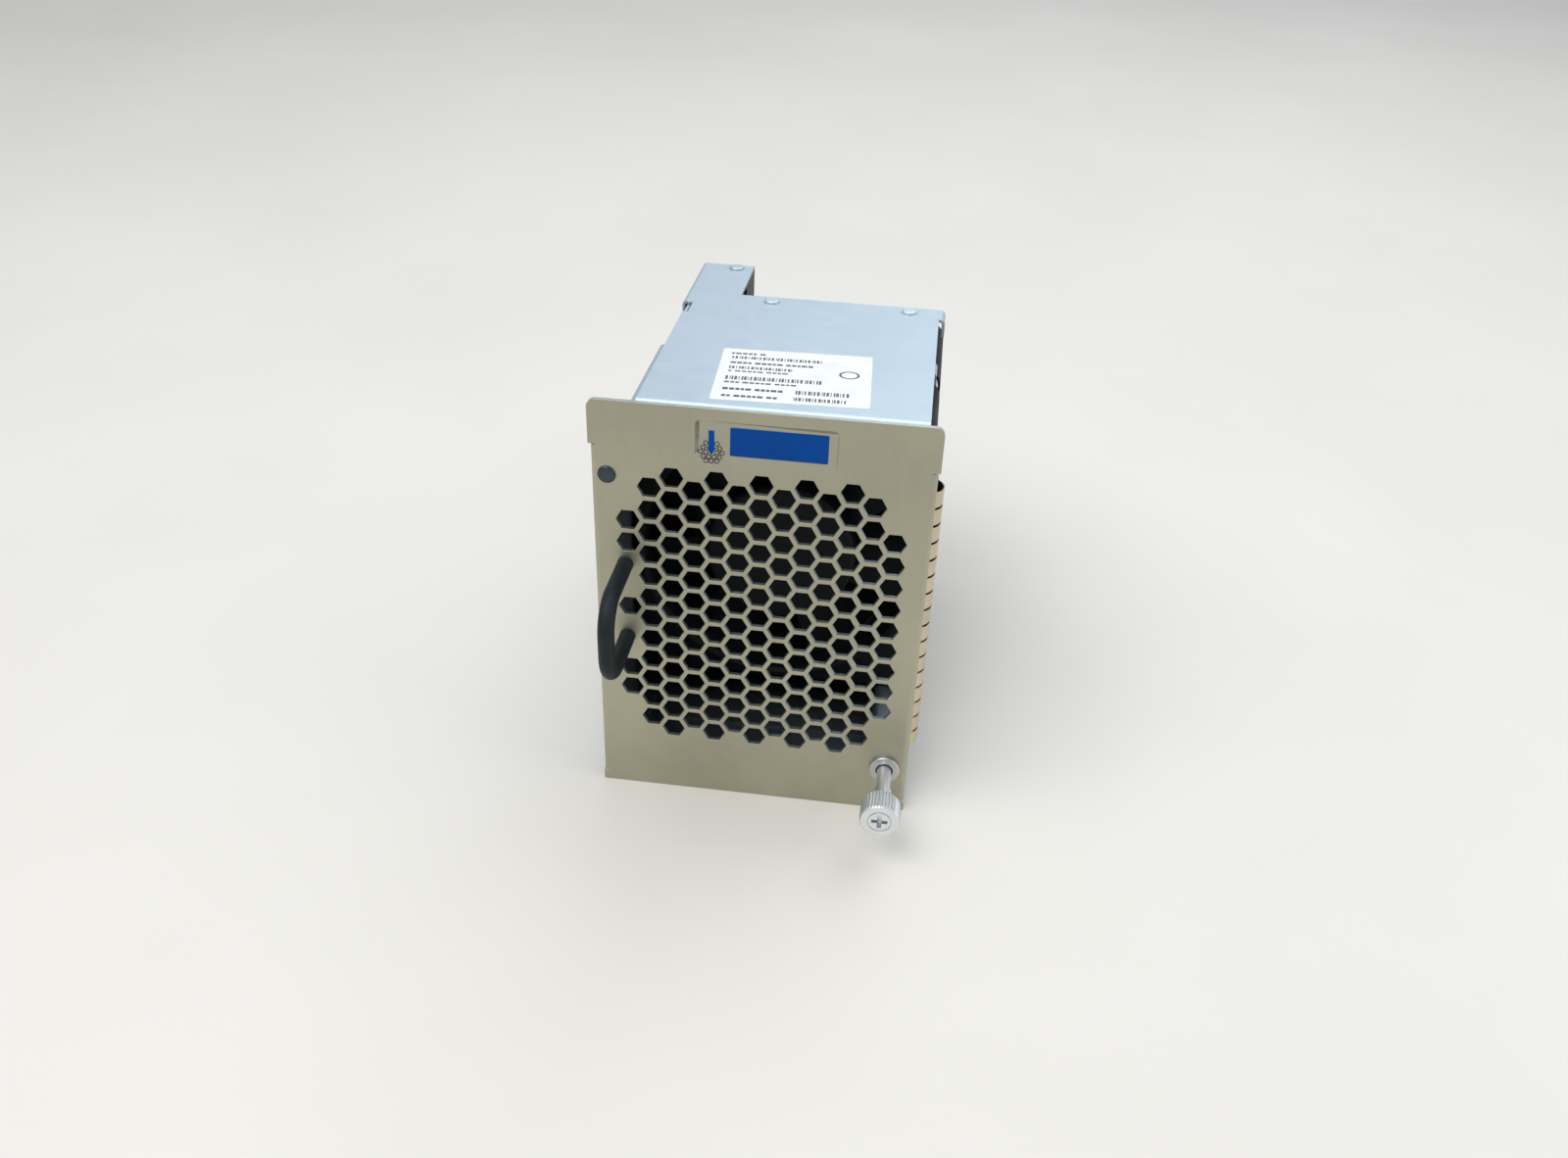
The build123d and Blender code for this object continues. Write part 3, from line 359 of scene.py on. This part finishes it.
def rounded(x0, z0, x1, z1, r, steps=4):
    """Outline of a rectangle with round corners."""
    corners = ((x1 - r, z1 - r), (x0 + r, z1 - r), (x0 + r, z0 + r), (x1 - r, z0 + r))
    points = []
    for quarter, (cx, cz) in enumerate(corners):
        for i in range(steps + 1):
            a = math.radians(90 * quarter + 90 * i / steps)
            points.append((cx + r * math.cos(a), cz + r * math.sin(a)))
    return points


def boxes(name, spans, low, high, material, place):
    """Many small flat boxes in one mesh; each span is (u0, v0, u1, v1)."""
    verts = []
    faces = []
    for u0, v0, u1, v1 in spans:
        k = len(verts)
        for w in (low, high):
            verts += [place(u0, v0, w), place(u1, v0, w), place(u1, v1, w), place(u0, v1, w)]
        faces += [(k + 4, k + 5, k + 6, k + 7), (k, k + 3, k + 2, k + 1)]
        faces += [(k, k + 1, k + 5, k + 4), (k + 1, k + 2, k + 6, k + 5)]
        faces += [(k + 2, k + 3, k + 7, k + 6), (k + 3, k, k + 4, k + 7)]
    mesh_object(name, verts, faces, material)


def ring_print(name, centres, sides, outer, inner, low, high, material, place, squeeze=1.0):
    """Flat printed rings in one mesh."""
    verts = []
    faces = []
    for cu, cv in centres:
        k = len(verts)
        for w in (low, high):
            for r in (outer, inner):
                for i in range(sides):
                    a = 2 * math.pi * i / sides
                    verts.append(place(cu + r * math.cos(a), cv + r * squeeze * math.sin(a), w))
        m = k + 2 * sides
        for i in range(sides):
            j = (i + 1) % sides
            faces.append((m + i, m + j, m + sides + j, m + sides + i))
            faces.append((k + i, k + j, m + j, m + i))
            faces.append((k + sides + j, k + sides + i, m + sides + i, m + sides + j))
    mesh_object(name, verts, faces, material)


# Clear film with a blue plain label and an airflow mark on the faceplate
FILM_THICK = 0.04
LABEL_THICK = 0.06
ARROW_THICK = 0.05
PRINT_THICK = 0.03
ARROW_U = -12.3
ARROW_ROOM = 0.9
ARROW_POINT = 104.2
HEX_PITCH = 1.32


def on_face(u, v, w):
    """Across and up the plate, w out of its front."""
    return at(u, -w, v)


def on_film(u, v, w):
    """The same, out of the clear film that lies on the plate."""
    return at(u, -w - FILM_THICK, v)


slab("label_film", rounded(-16.3, 101.6, 18.1, 113.4, 1.2), FILM_THICK, FILM, on_face)
slab("blue_label", rounded(-7.8, 104.7, 15.8, 112.1, 0.4), LABEL_THICK, PRINT_BLUE, on_film)
arrow = [(-13.0, 110.9), (-13.0, 106.6), (-13.5, 106.6), (ARROW_U, 104.5), (-11.1, 106.6),
         (-11.6, 106.6), (-11.6, 110.9)]
slab("airflow_arrow", arrow, ARROW_THICK, PRINT_BLUE, on_film)

# Rows of hexagons round the arrow's point, left out where the arrow covers them
hexes = []
for count, v in ((3, 107.6), (4, 106.4), (5, 105.2), (4, 104.0), (3, 102.9)):
    for k in range(count):
        u = ARROW_U + (k - (count - 1) / 2) * HEX_PITCH
        if abs(u - ARROW_U) > ARROW_ROOM or v < ARROW_POINT:
            hexes.append((u, v))
ring_print("airflow_hexes", hexes, 6, 0.70, 0.47, 0.0, PRINT_THICK, PRINT_DARK, on_film)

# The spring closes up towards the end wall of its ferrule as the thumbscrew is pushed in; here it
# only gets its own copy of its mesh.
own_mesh(NODES["thumbscrew_spring"])

# White service label on the cover
LABEL_TURN = math.radians(2.7)
LABEL_ACROSS = 4.6
LABEL_DEPTH = 21.8
INK_TOP = 0.075


def on_cover(u, v, w):
    """Across and along the turned label, w above the cover."""
    x = LABEL_ACROSS + u * math.cos(LABEL_TURN) - v * math.sin(LABEL_TURN)
    d = LABEL_DEPTH + u * math.sin(LABEL_TURN) + v * math.cos(LABEL_TURN)
    return at(x, d, COVER_TOP + w)


def bars(u0, u1, v, tall, seed):
    """Plain upright strokes of uneven width that fill a strip."""
    spans = []
    u = u0
    k = seed
    while u < u1 - 0.5:
        wide = 0.22 + 0.20 * ((k * 7 + 3) % 3)
        spans.append((u, v - tall / 2, u + wide, v + tall / 2))
        u += wide + 0.20 + 0.10 * ((k * 5 + 1) % 4)
        k += 1
    return spans


def dashes(u0, u1, v, tall, seed):
    """Plain short dashes that stand in for a line of print."""
    spans = []
    u = u0
    k = seed
    while u < u1 - 1.0:
        wide = 0.8 + 0.2 * ((k * 3 + 1) % 4)
        spans.append((u, v - tall / 2, u + wide, v + tall / 2))
        u += wide + 0.3 + (0.6 if (k * 11) % 5 == 0 else 0.0)
        k += 1
    return spans


slab("service_label", rounded(-19.2, -16.0, 19.2, 16.0, 0.8), LABEL_THICK, PAPER, on_cover)
ink = []
for strip in ((-16.5, 7.0, 10.4, 1.7, 1), (-16.6, 0.0, 3.9, 1.6, 4), (-16.8, 7.6, -2.6, 2.2, 2),
              (1.0, 14.3, -9.3, 2.2, 7), (0.8, 14.0, -13.2, 1.9, 3)):
    ink += bars(*strip)
for line in ((-16.9, -8.3, 13.0, 1.0, 1), (-16.6, 5.0, 7.0, 1.1, 2), (-16.6, -1.0, 1.6, 0.8, 5),
             (-16.8, 2.0, -5.3, 0.9, 3), (-16.8, -0.5, -9.3, 1.3, 6), (-16.6, -2.0, -13.4, 1.2, 4)):
    ink += dashes(*line)
boxes("service_label_print", ink, LABEL_THICK, INK_TOP, INK, on_cover)
ring_print("service_label_ring", [(13.6, 3.2)], 32, 2.6, 2.0, LABEL_THICK, INK_TOP, INK, on_cover,
           squeeze=0.92)

# Stage: pale floor under the leaning tray
FLOOR_REACH = 3.0
FLOOR_DROP = 0.00005
lean = math.atan2(SLED_FOOT, SLED_REAR)
floor_mesh = bpy.data.meshes.new("floor")
front = at(0, 0, 0).y
points = []
for x, y in ((-1, -1), (1, -1), (1, 1), (-1, 1)):
    run = y * FLOOR_REACH
    points.append((x * FLOOR_REACH, front + run * math.cos(lean),
                   run * math.sin(lean) - FLOOR_DROP))
floor_mesh.from_pydata(points, [], [(0, 1, 2, 3)])
floor = bpy.data.objects.new("floor", floor_mesh)
bpy.context.scene.collection.objects.link(floor)
floor_mat, floor_tree, floor_bsdf = shader("floor_pale")
floor_cloud = noise(floor_tree, object_coords(floor_tree), 6.0)
floor_base = blend_colours(floor_tree, spread(floor_tree, floor_cloud, 0.0, 1.0),
                           (0.72, 0.70, 0.66), (0.76, 0.74, 0.70))
floor_tree.links.new(floor_base, floor_bsdf.inputs["Base Color"])
floor_bsdf.inputs["Roughness"].default_value = 0.7
floor_mesh.materials.append(floor_mat)

# World and lamps
world = bpy.data.worlds.new("studio")
bpy.context.scene.world = world
world.use_nodes = True
background = world.node_tree.nodes["Background"]
background.inputs["Color"].default_value = (0.86, 0.90, 0.95, 1.0)
background.inputs["Strength"].default_value = 0.50


def lamp(name, place, target, size, power, colour):
    data = bpy.data.lights.new(name, "AREA")
    data.shape = "RECTANGLE"
    data.size, data.size_y = size
    data.energy = power
    data.color = colour
    obj = bpy.data.objects.new(name, data)
    obj.location = place
    aim = Vector(target) - Vector(place)
    obj.rotation_euler = aim.to_track_quat("-Z", "Y").to_euler()
    bpy.context.scene.collection.objects.link(obj)


lamp("key", (-0.35, -0.45, 0.95), (0, 0, 0.05), (0.9, 0.7), 6.5, (1.0, 0.98, 0.95))
lamp("top", (0.25, 0.45, 1.1), (0, 0.02, 0.1), (1.0, 1.0), 6.5, (0.93, 0.97, 1.0))
lamp("side", (1.0, -0.2, 0.5), (0, 0, 0.05), (0.6, 0.8), 2.0, (1.0, 0.97, 0.93))

# Camera: fitted to the hexagon lattice of the photograph
CAMERA_PLACE = (35.67, -281.98, 247.64)
look = Vector((-0.08763, 0.84498, -0.52757)).normalized()
side = look.cross(Vector((-0.09551, 0.52004, 0.84878))).normalized()
up = side.cross(look).normalized()
camera_data = bpy.data.cameras.new("camera")
camera_data.sensor_width = 36.0
camera_data.lens = 30.484
camera_data.clip_start = 0.01
camera_data.clip_end = 20.0
camera = bpy.data.objects.new("camera", camera_data)
rotation = Matrix((side, up, -look)).transposed()
camera.matrix_world = Matrix.Translation(at(*CAMERA_PLACE)) @ rotation.to_4x4()
bpy.context.scene.collection.objects.link(camera)
bpy.context.scene.camera = camera

bpy.context.scene.view_settings.view_transform = "Standard"
